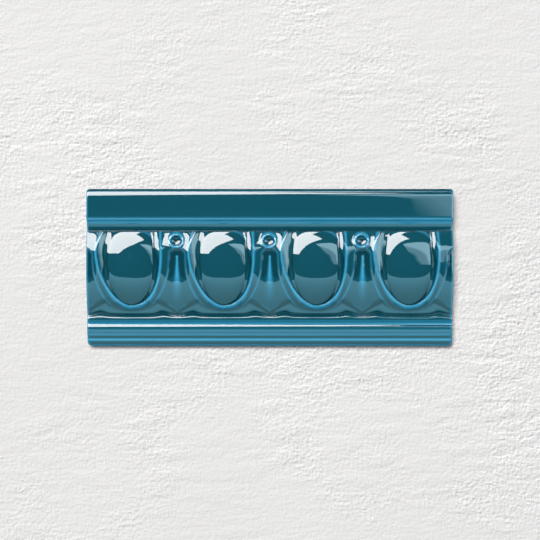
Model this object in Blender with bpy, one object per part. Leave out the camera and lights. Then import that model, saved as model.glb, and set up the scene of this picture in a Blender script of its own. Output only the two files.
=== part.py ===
"""Egg-and-dart moulding tile: one piece of pressed and glazed ceramic, lying on its flat back.

X runs along the tile, Y up the wall and Z out of the wall, in metres.
The origin is the centre of the back face.
"""

import math
from typing import NamedTuple

import bmesh
import bpy
import numpy as np

# Driving sizes
LENGTH = 0.152
HEIGHT = 0.0655
PITCH = 0.0384
EGGS = 4

# The straight mouldings: heights above the back at places up the tile
TOP_EDGE = HEIGHT / 2
BOTTOM_EDGE = -HEIGHT / 2
BAND_Z = 0.0165
TOP_ROUND_Y = 0.0036
TOP_ROUND_Z = 0.0034
GROOVE_Z = 0.0128
BAND_FOOT = (
    (0.0209, 0.01650),
    (0.0204, 0.01640),
    (0.0200, 0.01615),
    (0.0197, 0.01560),
    (0.0195, 0.01480),
    (0.0193, 0.01410),
    (0.0190, 0.01380),
    (0.0185, 0.01352),
    (0.0178, 0.01315),
    (0.0171, 0.01289),
    (0.0164, GROOVE_Z),
)
RELIEF_TOP = 0.0154
RELIEF_BOTTOM = -0.0214
LOWER_MOULDINGS = (
    (-0.0217, 0.01100),
    (-0.0222, 0.01100),
    (-0.0229, 0.01102),
    (-0.0234, 0.01112),
    (-0.0238, 0.01130),
    (-0.0242, 0.01155),
    (-0.0245, 0.01172),
    (-0.0250, 0.01182),
    (-0.0254, 0.01180),
    (-0.0259, 0.01169),
    (-0.0265, 0.01148),
    (-0.0272, 0.01120),
    (-0.0277, 0.01098),
    (-0.0281, 0.01070),
    (-0.0285, 0.01038),
    (-0.0290, 0.00998),
    (-0.0294, 0.00978),
    (-0.0298, 0.00965),
    (-0.0301, 0.00940),
    (-0.0308, 0.00880),
    (-0.0315, 0.00820),
    (-0.0321, 0.00765),
    (-0.0325, 0.00720),
    (BOTTOM_EDGE, 0.0062),
)

# The quirk below the ornament, rising to the first bead's top at its foot
QUIRK = (
    (RELIEF_BOTTOM, 0.01100),
    (-0.0211, 0.01097),
    (-0.0208, 0.01085),
    (-0.0202, 0.01045),
    (-0.0199, 0.01010),
    (-0.0190, 0.00900),
)
QUIRK_WAVE = 0.35

# The ovolo that carries the ornament
OVOLO_Z = 0.0184
OVOLO_UPPER_START = 0.0050
OVOLO_UPPER_RADIUS = 0.0175
OVOLO_LOWER_START = 0.0031
OVOLO_LOWER_SLOPE = 0.79
OVOLO_LOWER_TURN = 0.0204
LEDGE = 0.0003

# The plate under the ornament, whose lower edge rises on each side of a dart
PLATE_DEPTH = 0.0019
PLATE_TURN_Y = -0.0115
PLATE_SLOPE = 0.32
PLATE_EDGE_Y = -0.0190
PLATE_WAVE = 0.0012
PLATE_WAVE_X = 0.0062
PLATE_WAVE_WIDTH = 0.0028
PLATE_DROP = 1.6


class Oval(NamedTuple):
    """One side of an upright oval: its greatest half width and where, its foot, its power, its top's lean inwards."""

    half_width: float
    widest_y: float
    foot_y: float
    power: float
    lean: float = 0.0

    def depth(self):
        return self.widest_y - self.foot_y

    def half_width_at(self, y):
        """Half the width at a height: |x/a|^n + |y/b|^n = 1 below the widest place, a parabola above."""
        below = np.clip((self.widest_y - y) / self.depth(), 0, 1)
        above = np.maximum(y - self.widest_y, 0) / (RELIEF_TOP - self.widest_y)
        return self.half_width * (1 - below**self.power) ** (1 / self.power) - self.lean * above**2

    def radial(self, across, y, depth_above=math.inf):
        """The superellipse's radial measure, 1 on the oval, and its gradient's two parts."""
        depth = np.where(y < self.widest_y, self.depth(), depth_above)
        u = np.abs(across) / self.half_width
        w = np.maximum(np.abs(y - self.widest_y) / depth, 1e-9)
        measure = np.maximum((u**self.power + w**self.power) ** (1 / self.power), 1e-6)
        return measure, (u / measure) ** (self.power - 1) / self.half_width, (w / measure) ** (self.power - 1) / depth

    def offset(self, across, y):
        """Signed distance outside the oval, to first order."""
        measure, slope_u, slope_w = self.radial(across, np.minimum(y, self.widest_y))
        below = (measure - 1) / np.maximum(np.hypot(slope_u, slope_w), 1e-6)
        return np.where(y < self.widest_y, below, np.abs(across) - self.half_width_at(y))


# The egg, by side: -1 is the left half and 1 the right half, seen from the front
WIDEST_Y = -0.0030
EGG = {-1: Oval(0.0112, WIDEST_Y, -0.0200, 2.1), 1: Oval(0.0111, WIDEST_Y, -0.0200, 2.2)}
EGG_DEPTH_ABOVE = 0.0300
EGG_CORNER = {-1: Oval(0.0104, 0.0095, 0.0032, 3.2), 1: Oval(0.0101, 0.0078, 0.0000, 2.6)}
EGG_CORNER_DROP = 1.3
EGG_RIM = Oval(0.0089, WIDEST_Y, -0.0152, 1.9)
EGG_RIM_DROP = 2.2
EGG_RIM_LENGTH = 0.0040
EGG_RISE = 0.0052
EGG_EDGE_DROP = 0.0200
EGG_FOOT = 0.0036

# The frame round it, whose left limb stands wider and leans in more than its right
CREST = {-1: Oval(0.0145, 0.0070, -0.0162, 1.75, 0.0021), 1: Oval(0.0125, 0.0058, -0.0162, 2.25, 0.0005)}
CREST_RISE = 0.00035
FLANK_WIDTH = {-1: 0.0034, 1: 0.0026}
FLANK_FOOT_WIDTH = 0.0005
FLANK_NARROW_FROM = {-1: 0.0045, 1: 0.0090}
FLANK_NARROW_TO = {-1: -0.0050, 1: 0.0020}
FLANK_SLOPE = {-1: 0.35, 1: 0.15}
FLANK_FOOT_SLOPE = {-1: 0.95, 1: 0.60}
FLANK_DROP = 2.0
STRIP = Oval(0.0159, 0.0052, -0.0186, 2.15)
STRIP_FALL = 0.0007
STRIP_FOOT_FALL = 0.0015
STRIP_DROP = 1.6
ROLL_START = 0.0068
ROLL_SLOPE = 0.28
ROLL_TURN = 0.0012
ROLL_EASE_START = 0.0105
ROLL_EASE = 18.0

# The dart between two frames, and the eyelet above it
RECESS_DEPTH = 0.0015
LEAF_DEPTH = 0.0006
RECESS_Y = 0.0020
LEAF_Y = -0.0048
DART_TOP = 0.0056
DART_RISE_LENGTH = 0.0012
DART_NARROWING = 0.0004
DART_RISE = 0.0003
DART_WIDTH = 0.0008
LEAF_WIDTH = 0.0028
DART_SHOULDER_Y = -0.0140
DART_TIP_Y = -0.0176
DART_HALF_WIDTH = 0.0056
DART_EDGE_DROP = 0.55
EYELET_X = -0.0004
EYELET_Y = 0.0115
EYELET_RADIUS = 0.0028
EYELET_RISE = 0.0006
EYELET_DROP = 1.8
EYELET_INNER_DROP = 0.7
EYELET_ROUND = 0.0004
EYELET_DIMPLE = 0.0019

# Softened arrises
END_ROUND = 0.0006
END_DROP = 0.0005
CORNER_RADIUS_TOP = 0.0010
CORNER_RADIUS_BOTTOM = 0.0020

# Divisions of the surface: rows down half a bay, then lines from the egg outwards
ROUND_STEPS = 5
EYELET_FOOT_Y = 0.0080
EYELET_STEPS = 14
SIDE_STEPS = 26
BOTTOM_STEPS = 19
CORNER_STEP = 11
EGG_SHARES = (0, 0.32, 0.58, 0.79, 0.91, 1)
WALL_SHARES = (0, 1)
FLANK_SHARES = (0, 0.5, 1)
STRIP_SHARES = (0, 0.5, 1)
GROUND_SHARES = (0, 0.17, 0.34, 0.51, 0.68, 0.84, 1)
VALLEY_SAMPLES = 81
WALL_LEAST = 0.15
SAME = 0.00001

# The glaze over the body
GLAZE_COLOUR = (0.0052, 0.0823, 0.1301, 1.0)
GLAZE_ROUGHNESS = 0.08


def soft_max(a, b, blend):
    """The larger of two heights, with the corner between them filleted over blend."""
    mix = np.clip(0.5 + 0.5 * (a - b) / blend, 0, 1)
    return b + (a - b) * mix + blend * mix * (1 - mix)


def ramp(value, start, end):
    """0 before start and 1 after end, with a smooth step between them."""
    t = np.clip((value - start) / (end - start), 0, 1)
    return t * t * (3 - 2 * t)


def eased(distance, turn):
    """A slope's run that bends from level to one in one over a distance of turn."""
    run = np.maximum(distance, 0)
    return run - turn * (1 - np.exp(-run / turn))


def ovolo(y):
    """Height of the convex band: a circle's arc above, level in the middle, bending to an even slope below."""
    up = np.clip(y - OVOLO_UPPER_START, 0, 0.999 * OVOLO_UPPER_RADIUS)
    fall_up = OVOLO_UPPER_RADIUS - np.sqrt(OVOLO_UPPER_RADIUS**2 - up**2)
    return OVOLO_Z - fall_up - OVOLO_LOWER_SLOPE * eased(OVOLO_LOWER_START - y, OVOLO_LOWER_TURN)


def by_side(across, function):
    """Evaluates a function for the egg's left and right sides and takes each place's own."""
    return np.where(across < 0, function(-1), function(1))


def crest_offset(across, y):
    """Signed distance outside the frame's inner crest, a U that leans in towards its open top."""
    return by_side(across, lambda side: CREST[side].offset(across, y))


def strip_offset(across, y):
    """Signed distance outside the strip's outer edge, whose top arches over the dart."""
    from_dart = np.hypot(PITCH / 2 - np.abs(across), np.maximum(y - STRIP.widest_y, 0))
    return np.where(y < STRIP.widest_y, STRIP.offset(across, y), PITCH / 2 - STRIP.half_width - from_dart)


def egg_height(across, y):
    """The egg: a dome z = rise * (1 - r^2)^0.55 over its oval, cut down past its upper corners and lower rim."""

    def side_height(side):
        radial, _, _ = EGG[side].radial(across, y, EGG_DEPTH_ABOVE)
        dome = np.clip(1 - radial**2, 0, 1) ** 0.55
        corner = EGG_CORNER[side]
        past = corner.offset(across, 2 * corner.widest_y - np.maximum(y, corner.widest_y))
        cut = EGG_CORNER_DROP * np.maximum(past, 0) * (y > corner.widest_y)
        rim = EGG_RIM_DROP * np.maximum(EGG_RIM.offset(across, y), 0) * ramp(-y, 0, EGG_RIM_LENGTH)
        return EGG_RISE * dome - np.maximum(radial - 1, 0) * EGG_EDGE_DROP - cut - rim

    return ovolo(y) - EGG_FOOT + by_side(across, side_height)


def flank_width(y, side):
    """How wide the frame's inner flank is before it drops to the valley, from broad at the top to narrow below."""
    broad = ramp(y, FLANK_NARROW_TO[side], FLANK_NARROW_FROM[side])
    return FLANK_FOOT_WIDTH + (FLANK_WIDTH[side] - FLANK_FOOT_WIDTH) * broad


def frame_height(across, y):
    """The frame: a sharp crest with a rounded inner flank, a hollow strip, and the strip's outer flank."""
    inner, outer = crest_offset(across, y), strip_offset(across, y)
    share = np.clip(inner / np.maximum(inner - outer, 1e-6), 0, 1)
    deep = np.maximum(-inner, 0)

    def flank_fall(side):
        width = flank_width(y, side)
        near = np.minimum(deep, width)
        bend = (FLANK_FOOT_SLOPE[side] - FLANK_SLOPE[side]) / (2 * width)
        return FLANK_SLOPE[side] * near + bend * near**2 + FLANK_DROP * (deep - near)

    fall = by_side(across, flank_fall)
    hollow = STRIP_FALL + (STRIP_FOOT_FALL - STRIP_FALL) * ramp(y, -0.0120, -0.0160)
    fall = fall + hollow * (1 - (1 - share) ** 2) + STRIP_DROP * np.maximum(outer, 0)
    return ovolo(y) + CREST_RISE - fall - roll(y) * ramp(inner, -0.0012, 0.0006)


def roll(y):
    """How far the frames' tops slope away towards the groove above them."""
    return ROLL_SLOPE * eased(y - ROLL_START, ROLL_TURN) - ROLL_EASE * np.maximum(y - ROLL_EASE_START, 0) ** 2


def leaf_offset(from_dart, y):
    """Signed distance outside the dart's leaf, which ends in a point between two straight lower edges."""
    along_x, along_y = DART_HALF_WIDTH, DART_SHOULDER_Y - DART_TIP_Y
    length = math.hypot(along_x, along_y)
    return (from_dart * along_y - (y - DART_TIP_Y) * along_x) / length


def dart_height(from_dart, y):
    """The dart: a rounded ridge that is narrow in the recess above and spreads into the leaf below."""
    floor = RECESS_DEPTH + (LEAF_DEPTH - RECESS_DEPTH) * np.clip((RECESS_Y - y) / (RECESS_Y - LEAF_Y), 0, 1)
    rise = DART_RISE * ramp(y, DART_TOP, DART_TOP - DART_RISE_LENGTH)
    width = DART_WIDTH + (LEAF_WIDTH - DART_WIDTH) * ramp(-y, 0.0, 0.0110)
    width = width - DART_NARROWING * np.clip(y / DART_TOP, 0, 1)
    ridge = rise * np.exp(-((from_dart / width) ** 2))
    return ovolo(y) - floor + ridge - DART_EDGE_DROP * np.maximum(leaf_offset(from_dart, y), 0)


def plate_wave(from_dart):
    """How far the plate's lower edge rises on each side of a dart."""
    return PLATE_WAVE * np.exp(-(((from_dart - PLATE_WAVE_X) / PLATE_WAVE_WIDTH) ** 2))


def plate_height(from_dart, y):
    """The plate under the ornament, which drops to the quirk past its wavy lower edge."""
    beyond = np.maximum(PLATE_EDGE_Y + plate_wave(from_dart) - y, 0)
    level = ovolo(np.maximum(y, PLATE_TURN_Y)) - PLATE_DEPTH - PLATE_SLOPE * np.maximum(PLATE_TURN_Y - y, 0)
    return level - PLATE_DROP * beyond


def eyelet_height(x, across, y):
    """The eyelet between two frames: a ring that holds a dimple, and the distance from its centre."""
    aside = (across + PITCH / 2 - EYELET_X + PITCH / 2) % PITCH - PITCH / 2
    aside = np.where(np.abs(x) < PITCH * (EGGS - 1) / 2, aside, PITCH)
    radius = np.hypot(aside, y - EYELET_Y)
    inside = radius < EYELET_RADIUS
    away = np.hypot(radius - EYELET_RADIUS, EYELET_ROUND) - EYELET_ROUND
    ring = EYELET_RISE - np.where(inside, EYELET_INNER_DROP, EYELET_DROP) * away
    lift = (ovolo(y) - roll(y) - ovolo(EYELET_Y) + roll(EYELET_Y)) * ramp(radius, EYELET_RADIUS * 0.8, EYELET_RADIUS)
    bowl = EYELET_RISE - EYELET_DIMPLE * np.clip(1 - (radius / EYELET_RADIUS) ** 2, 0, 1)
    base = ovolo(EYELET_Y) - roll(EYELET_Y)
    height = np.where(inside, base + lift + np.minimum(bowl, ring), ovolo(y) - roll(y) + ring)
    return height, radius


def relief_height(x, y):
    """Height of the ornamented band: the highest of its plate, frames, eggs and darts, filleted where they meet."""
    across = (x + PITCH * EGGS / 2) % PITCH - PITCH / 2
    from_dart = PITCH / 2 - np.abs(across)
    quirk_y, quirk_z = np.array(QUIRK).T
    follow = QUIRK_WAVE * plate_wave(from_dart) * ramp(y, RELIEF_BOTTOM, RELIEF_BOTTOM + 0.0006)
    line = np.interp(y - follow, quirk_y, quirk_z)
    line = line + (GROOVE_Z - quirk_z[-1]) * ramp(y, -0.012, 0.012)
    height = soft_max(plate_height(from_dart, y), line, 0.00015)
    height = soft_max(height, frame_height(across, y), 0.0003)
    height = soft_max(height, egg_height(across, y), 0.0003)
    height = soft_max(height, dart_height(from_dart, y), 0.0003)
    eyelet, radius = eyelet_height(x, across, y)
    height = np.where(radius < EYELET_RADIUS, eyelet, soft_max(height, eyelet, 0.0003))
    return line + (height - line) * ramp(RELIEF_TOP - y, 0, LEDGE)


def end_drop(x):
    """How far the surface turns down towards the two ends of the tile."""
    inset = np.clip((LENGTH / 2 - np.abs(x)) / END_ROUND, 0, 1)
    return END_DROP * (1 - inset) ** 2


def end_x(y):
    """Half the tile's length at a height up the tile, less the rounding of its corners."""
    top = np.clip(CORNER_RADIUS_TOP - (TOP_EDGE - y), 0, CORNER_RADIUS_TOP)
    bottom = np.clip(CORNER_RADIUS_BOTTOM - (y - BOTTOM_EDGE), 0, CORNER_RADIUS_BOTTOM)
    cut_top = CORNER_RADIUS_TOP - math.sqrt(CORNER_RADIUS_TOP**2 - top**2)
    cut_bottom = CORNER_RADIUS_BOTTOM - math.sqrt(CORNER_RADIUS_BOTTOM**2 - bottom**2)
    return LENGTH / 2 - cut_top - cut_bottom


def upper_section():
    """Places and heights from the tile's top edge down to the foot of the plain band."""
    turn = [math.pi / 2 * i / ROUND_STEPS for i in range(ROUND_STEPS + 1)]
    nose = [(TOP_EDGE - TOP_ROUND_Y * (1 - math.cos(a)), BAND_Z - TOP_ROUND_Z * (1 - math.sin(a))) for a in turn]
    return nose + list(BAND_FOOT)


def add_grid(bm, places, heights):
    """A sheet of quads through a grid of places, which runs down the tile and then along +X."""
    rows, columns = heights.shape
    verts = [[bm.verts.new((*places[r, c], heights[r, c])) for c in range(columns)] for r in range(rows)]
    for r in range(rows - 1):
        for c in range(columns - 1):
            bm.faces.new((verts[r][c], verts[r + 1][c], verts[r + 1][c + 1], verts[r][c + 1]))


def add_straight(bm, section):
    """The straight mouldings: the section's points carried along the tile, from one end to the other."""
    stations = [PITCH / 2 * i for i in range(-EGGS + 1, EGGS)]
    places, heights = [], []
    for y, z in section:
        end = end_x(y)
        xs = np.array([-end, -end + END_ROUND, *stations, end - END_ROUND, end])
        drop = END_DROP * np.isin(np.abs(xs), end)
        places.append(np.stack([xs, np.full(len(xs), y)], axis=-1))
        heights.append(z - drop)
    add_grid(bm, np.array(places), np.array(heights))


def valley_line(inner, outer, side):
    """The lowest place between two lines on each row, smoothed from row to row."""
    share = np.linspace(0, 1, VALLEY_SAMPLES)
    places = inner + (outer - inner) * share[:, None, None]
    centre = PITCH * (EGGS - 1) / 2
    lowest = share[np.argmin(relief_height(centre + side * places[..., 0], places[..., 1]), axis=0)]
    lowest[0] = lowest[1]
    lowest[1:-1] = (lowest[:-2] + lowest[1:-1] + lowest[2:]) / 3
    return inner + (outer - inner) * lowest[:, None]


def bay_places(reach, side):
    """Places on half of one bay, on lines that follow the valley, the frame's crest and the strip's edge.

    Above the egg's widest place the rows run level; below it they are rays, each through one place on
    every superellipse (a*cos(t)^(2/n), b*sin(t)^(2/n)), out to the bay's side, reach away, and then its foot.
    """
    eyelet = np.linspace(RELIEF_TOP - LEDGE, EYELET_FOOT_Y, EYELET_STEPS)
    levels = np.linspace(EYELET_FOOT_Y, WIDEST_Y, SIDE_STEPS - EYELET_STEPS + 1)[1:-1]
    levels = np.concatenate([[RELIEF_TOP], eyelet, levels])
    ovals = (EGG_RIM, CREST[side], STRIP)
    widths = [0 * levels, *(o.half_width_at(levels) for o in ovals), reach + 0 * levels]
    upper = [np.stack([width, levels], axis=-1) for width in widths]
    lower = [np.tile([0.0, WIDEST_Y], (BOTTOM_STEPS + 1, 1))]
    for o in ovals:
        start = math.asin(((o.widest_y - WIDEST_Y) / o.depth()) ** (o.power / 2))
        turn = np.linspace(start, math.pi / 2, BOTTOM_STEPS + 1)
        wide, deep = np.maximum(np.cos(turn), 0) ** (2 / o.power), np.sin(turn) ** (2 / o.power)
        wide[-1] = 0
        lower.append(np.stack([o.half_width * wide, o.widest_y - o.depth() * deep], axis=-1))
    step = np.arange(BOTTOM_STEPS + 1)
    down = np.minimum(step / CORNER_STEP, 1)
    along = 1 - np.maximum(step - CORNER_STEP, 0) / (BOTTOM_STEPS - CORNER_STEP)
    lower.append(np.stack([reach * along, WIDEST_Y + (RELIEF_BOTTOM - WIDEST_Y) * down], axis=-1))
    guides = np.array([np.concatenate(pair) for pair in zip(upper, lower)])
    valley = valley_line(guides[1], guides[2], side)
    run = valley - guides[2]
    share = flank_width(guides[2, :, 1], side) / np.maximum(np.hypot(*run.T), SAME)
    flank = guides[2] + run * np.minimum(share, 1 - WALL_LEAST)[:, None]
    guides = np.array([guides[0], valley, flank, *guides[2:]])
    lines = [guides[:1]]
    for i, shares in enumerate((EGG_SHARES, WALL_SHARES, FLANK_SHARES, STRIP_SHARES, GROUND_SHARES)):
        lines.append(guides[i] + (guides[i + 1] - guides[i]) * np.array(shares[1:])[:, None, None])
    return np.concatenate(lines).transpose(1, 0, 2)


def add_ornament(bm):
    """The eggs, frames, darts and eyelets, half a bay at a time from one end of the tile to the other."""
    for egg in range(EGGS):
        centre = PITCH * (egg - (EGGS - 1) / 2)
        for side in (-1, 1):
            at_end = egg == (0 if side < 0 else EGGS - 1)
            reach = LENGTH / 2 - abs(centre) - END_ROUND if at_end else PITCH / 2
            places = bay_places(reach, side)
            sheets = [places]
            if at_end:
                sheets.append(np.stack([places[: SIDE_STEPS + CORNER_STEP + 1, -1]] * 2, axis=1))
                sheets[-1][:, 1, 0] += END_ROUND
            for sheet in sheets:
                sheet = np.stack([centre + side * sheet[..., 0], sheet[..., 1]], axis=-1)
                if side < 0:
                    sheet = sheet[:, ::-1]
                heights = relief_height(sheet[..., 0], sheet[..., 1])
                heights = heights - end_drop(sheet[..., 0])
                add_grid(bm, sheet, heights)


def add_web(bm, upper_y, lower_y):
    """The flat floor between a straight row and the edge of the ornament, in spans of half a bay."""
    joints = [PITCH / 2 * i for i in range(-EGGS + 1, EGGS)]
    outer = LENGTH / 2
    joints = [-outer, -outer + END_ROUND, *joints, outer - END_ROUND, outer]
    rows = [[v for v in bm.verts if abs(v.co.y - y) < SAME] for y in (lower_y, upper_y)]
    for start, end in zip(joints, joints[1:]):
        lower, upper = (
            sorted((v for v in row if start - SAME < v.co.x < end + SAME), key=lambda v: v.co.x) for row in rows
        )
        bm.faces.new(lower + upper[::-1])


def build_tile():
    """The tile: the front's sheets welded together, then walls drawn down to the flat back."""
    bm = bmesh.new()
    add_straight(bm, upper_section())
    add_ornament(bm)
    add_straight(bm, LOWER_MOULDINGS)
    bmesh.ops.remove_doubles(bm, verts=bm.verts[:], dist=SAME)
    add_web(bm, BAND_FOOT[-1][0], RELIEF_TOP)
    add_web(bm, RELIEF_BOTTOM, LOWER_MOULDINGS[0][0])
    rim = [edge for edge in bm.edges if edge.is_boundary]
    walls = bmesh.ops.extrude_edge_only(bm, edges=rim)
    for vert in (v for v in walls["geom"] if isinstance(v, bmesh.types.BMVert)):
        vert.co.z = 0
    rim = [edge for edge in bm.edges if edge.is_boundary]
    bmesh.ops.contextual_create(bm, geom=rim)
    bmesh.ops.recalc_face_normals(bm, faces=bm.faces[:])
    mesh = bpy.data.meshes.new("moulding_tile")
    bm.to_mesh(mesh)
    bm.free()
    mesh.shade_smooth()
    mesh.set_sharp_from_angle(angle=math.radians(40))
    return mesh


def glaze_material():
    """Deep blue-green glaze, as smooth as glass."""
    material = bpy.data.materials.new("glaze")
    material.use_nodes = True
    shader = material.node_tree.nodes["Principled BSDF"]
    shader.inputs["Base Color"].default_value = GLAZE_COLOUR
    shader.inputs["Metallic"].default_value = 0.0
    shader.inputs["Roughness"].default_value = GLAZE_ROUGHNESS
    material.diffuse_color = GLAZE_COLOUR
    return material


def main():
    for old in list(bpy.data.objects):
        bpy.data.objects.remove(old, do_unlink=True)
    tile = bpy.data.objects.new("moulding_tile", build_tile())
    tile.data.materials.append(glaze_material())
    bpy.context.scene.collection.objects.link(tile)


main()
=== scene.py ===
"""Egg-and-dart moulding tile with its glaze, and the plain studio that it lies in."""

import math
from typing import NamedTuple

import bmesh
import bpy
import numpy as np
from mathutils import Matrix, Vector


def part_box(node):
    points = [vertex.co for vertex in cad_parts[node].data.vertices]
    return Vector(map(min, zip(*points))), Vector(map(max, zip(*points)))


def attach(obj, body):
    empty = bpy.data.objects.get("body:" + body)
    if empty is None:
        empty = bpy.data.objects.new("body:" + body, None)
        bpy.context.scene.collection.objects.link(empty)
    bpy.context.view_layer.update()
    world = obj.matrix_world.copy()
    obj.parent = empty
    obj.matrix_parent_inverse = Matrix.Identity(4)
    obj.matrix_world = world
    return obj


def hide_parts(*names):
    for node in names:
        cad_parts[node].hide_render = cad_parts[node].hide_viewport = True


bl_info = {
    "name": "Egg-and-dart moulding tile",
    "version": (1, 0, 0),
    "blender": (4, 5, 0),
    "location": "View3D > Sidebar > Tile",
    "description": "Makes a pressed and glazed moulding tile and a studio to see it in",
    "category": "Add Mesh",
}

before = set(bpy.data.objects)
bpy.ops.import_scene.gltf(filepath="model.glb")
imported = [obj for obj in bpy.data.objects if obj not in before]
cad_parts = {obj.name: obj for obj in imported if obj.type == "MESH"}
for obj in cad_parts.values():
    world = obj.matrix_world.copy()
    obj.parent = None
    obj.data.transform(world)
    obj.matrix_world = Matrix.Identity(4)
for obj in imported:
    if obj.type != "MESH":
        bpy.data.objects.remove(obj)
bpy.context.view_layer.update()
TILE_LOW, TILE_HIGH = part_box("moulding_tile")

# The photo's side and the camera's focal length, both in picture points, and where the camera stands
IMAGE_SIDE = 540
CAMERA_FOCUS = 2374.9
CAMERA_PLACE = (0.0001, -0.00091, 1.0)


# Sizes and colours that a user would change


class TileSizes(bpy.types.PropertyGroup):
    """The tile's main sizes, in metres."""

    length: bpy.props.FloatProperty(
        name="Length",
        description="Length of the tile along the wall",
        default=TILE_HIGH[0] - TILE_LOW[0],
        unit="LENGTH",
    )
    height: bpy.props.FloatProperty(
        name="Height",
        description="Height of the tile up the wall",
        default=TILE_HIGH[1] - TILE_LOW[1],
        unit="LENGTH",
    )
    pitch: bpy.props.FloatProperty(
        name="Pitch",
        description="Distance from one egg to the next",
        default=0.0384,
        unit="LENGTH",
    )
    eggs: bpy.props.IntProperty(name="Eggs", description="Eggs along the tile", default=4, min=2)


class GlazeLook(bpy.types.PropertyGroup):
    """The glaze's colours and how rough it is."""

    full: bpy.props.FloatVectorProperty(
        name="Full glaze",
        description="Colour where the glaze has its usual thickness",
        default=(0.0050, 0.0870, 0.1270),
        subtype="COLOR",
    )
    pooled: bpy.props.FloatVectorProperty(
        name="Pooled glaze",
        description="Colour where the glaze has run together in a hollow",
        default=(0.0012, 0.0480, 0.0700),
        subtype="COLOR",
    )
    thin: bpy.props.FloatVectorProperty(
        name="Thin glaze",
        description="Colour where the glaze has run off an arris",
        default=(0.0540, 0.4500, 0.7650),
        subtype="COLOR",
    )
    body: bpy.props.FloatVectorProperty(
        name="Biscuit",
        description="Colour of the fired clay where it has no glaze",
        default=(0.62, 0.55, 0.46),
        subtype="COLOR",
    )
    roughness: bpy.props.FloatProperty(
        name="Roughness",
        description="Roughness of the glaze",
        default=0.035,
        min=0.0,
        max=1.0,
        subtype="FACTOR",
    )


# The straight mouldings, as places up the tile and heights above the back
BAND_Z = 0.0165
TOP_ROUND_Y = 0.0036
TOP_ROUND_Z = 0.0034
RELIEF_TOP = 0.0154
RELIEF_BOTTOM = -0.0214
GROOVE_Z = 0.01280
BAND_FOOT = (
    (0.0209, 0.01650),
    (0.0204, 0.01640),
    (0.0200, 0.01615),
    (0.0197, 0.01560),
    (0.0195, 0.01480),
    (0.0193, 0.01410),
    (0.0190, 0.01380),
    (0.0185, 0.01352),
    (0.0180, 0.01326),
    (0.0175, 0.01303),
    (0.0171, 0.01289),
    (0.0168, 0.01283),
    (0.0164, GROOVE_Z),
    (RELIEF_TOP, GROOVE_Z),
)
LOWER_MOULDINGS = (
    (RELIEF_BOTTOM, 0.01100),
    (-0.0217, 0.01100),
    (-0.0222, 0.01100),
    (-0.0229, 0.01102),
    (-0.0234, 0.01112),
    (-0.0238, 0.01130),
    (-0.0242, 0.01155),
    (-0.0245, 0.01172),
    (-0.0247, 0.01179),
    (-0.0250, 0.01182),
    (-0.0254, 0.01180),
    (-0.0259, 0.01169),
    (-0.0265, 0.01148),
    (-0.0272, 0.01120),
    (-0.0277, 0.01098),
    (-0.0281, 0.01070),
    (-0.0285, 0.01038),
    (-0.0290, 0.00998),
    (-0.0294, 0.00978),
    (-0.0298, 0.00965),
    (-0.0301, 0.00940),
    (-0.0308, 0.00880),
    (-0.0315, 0.00820),
    (-0.0321, 0.00765),
    (-0.0325, 0.00720),
    (-0.03275, 0.0062),
)

# The quirk below the ornament, rising to the first bead's top at its foot
QUIRK = (
    (RELIEF_BOTTOM, 0.01100),
    (-0.0211, 0.01097),
    (-0.0208, 0.01085),
    (-0.0202, 0.01045),
    (-0.0199, 0.01010),
    (-0.0190, 0.00900),
)

# The ovolo that carries the ornament
OVOLO_Z = 0.0184
OVOLO_UPPER_START = 0.0050
OVOLO_UPPER_RADIUS = 0.0175
OVOLO_UPPER_END = 0.999 * OVOLO_UPPER_RADIUS
OVOLO_LOWER_START = 0.0031
OVOLO_LOWER_SLOPE = 0.79
OVOLO_LOWER_TURN = 0.0204
LEDGE = 0.0003

# How wide the fillets are where two forms meet, and the groove's rise from the ornament's foot to its top
FILLET = 0.0003
QUIRK_FILLET = 0.00015
GROUND_RISE = (-0.0120, 0.0120)
WAVE_FOOT = (RELIEF_BOTTOM, RELIEF_BOTTOM + 0.0006)

# The plate that the ornament stands on, with a wavy lower edge that rises on each side of a dart
PLATE_DEPTH = 0.0019
PLATE_TURN_Y = -0.0115
PLATE_SLOPE = 0.32
PLATE_EDGE_Y = -0.0190
PLATE_WAVE = 0.0012
PLATE_WAVE_X = 0.0062
PLATE_WAVE_WIDTH = 0.0028
PLATE_DROP = 1.6
QUIRK_WAVE = 0.35


class Oval(NamedTuple):
    """One side of an upright oval: its greatest half width, where that is, its foot, power and lean."""

    half_width: float
    widest_y: float
    foot_y: float
    power: float
    lean: float = 0.0

    def depth(self):
        return self.widest_y - self.foot_y

    def half_width_at(self, y):
        """Half the width at a height: |x/a|^n + |y/b|^n = 1 below the widest place, a parabola above."""
        below = np.clip((self.widest_y - y) / self.depth(), 0, 1)
        above = np.maximum(y - self.widest_y, 0) / (RELIEF_TOP - self.widest_y)
        return self.half_width * (1 - below**self.power) ** (1 / self.power) - self.lean * above**2

    def radial(self, across, y, depth_above=math.inf):
        """The superellipse's radial measure, 1 on the oval, and its gradient's two parts."""
        depth = np.where(y < self.widest_y, self.depth(), depth_above)
        u = np.abs(across) / self.half_width
        w = np.maximum(np.abs(y - self.widest_y) / depth, 1e-9)
        measure = np.maximum((u**self.power + w**self.power) ** (1 / self.power), 1e-6)
        slope_u = (u / measure) ** (self.power - 1) / self.half_width
        slope_w = (w / measure) ** (self.power - 1) / depth
        return measure, slope_u, slope_w

    def offset(self, across, y):
        """Signed distance outside the oval, to first order."""
        measure, slope_u, slope_w = self.radial(across, np.minimum(y, self.widest_y))
        below = (measure - 1) / np.maximum(np.hypot(slope_u, slope_w), 1e-6)
        return np.where(y < self.widest_y, below, np.abs(across) - self.half_width_at(y))


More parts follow.
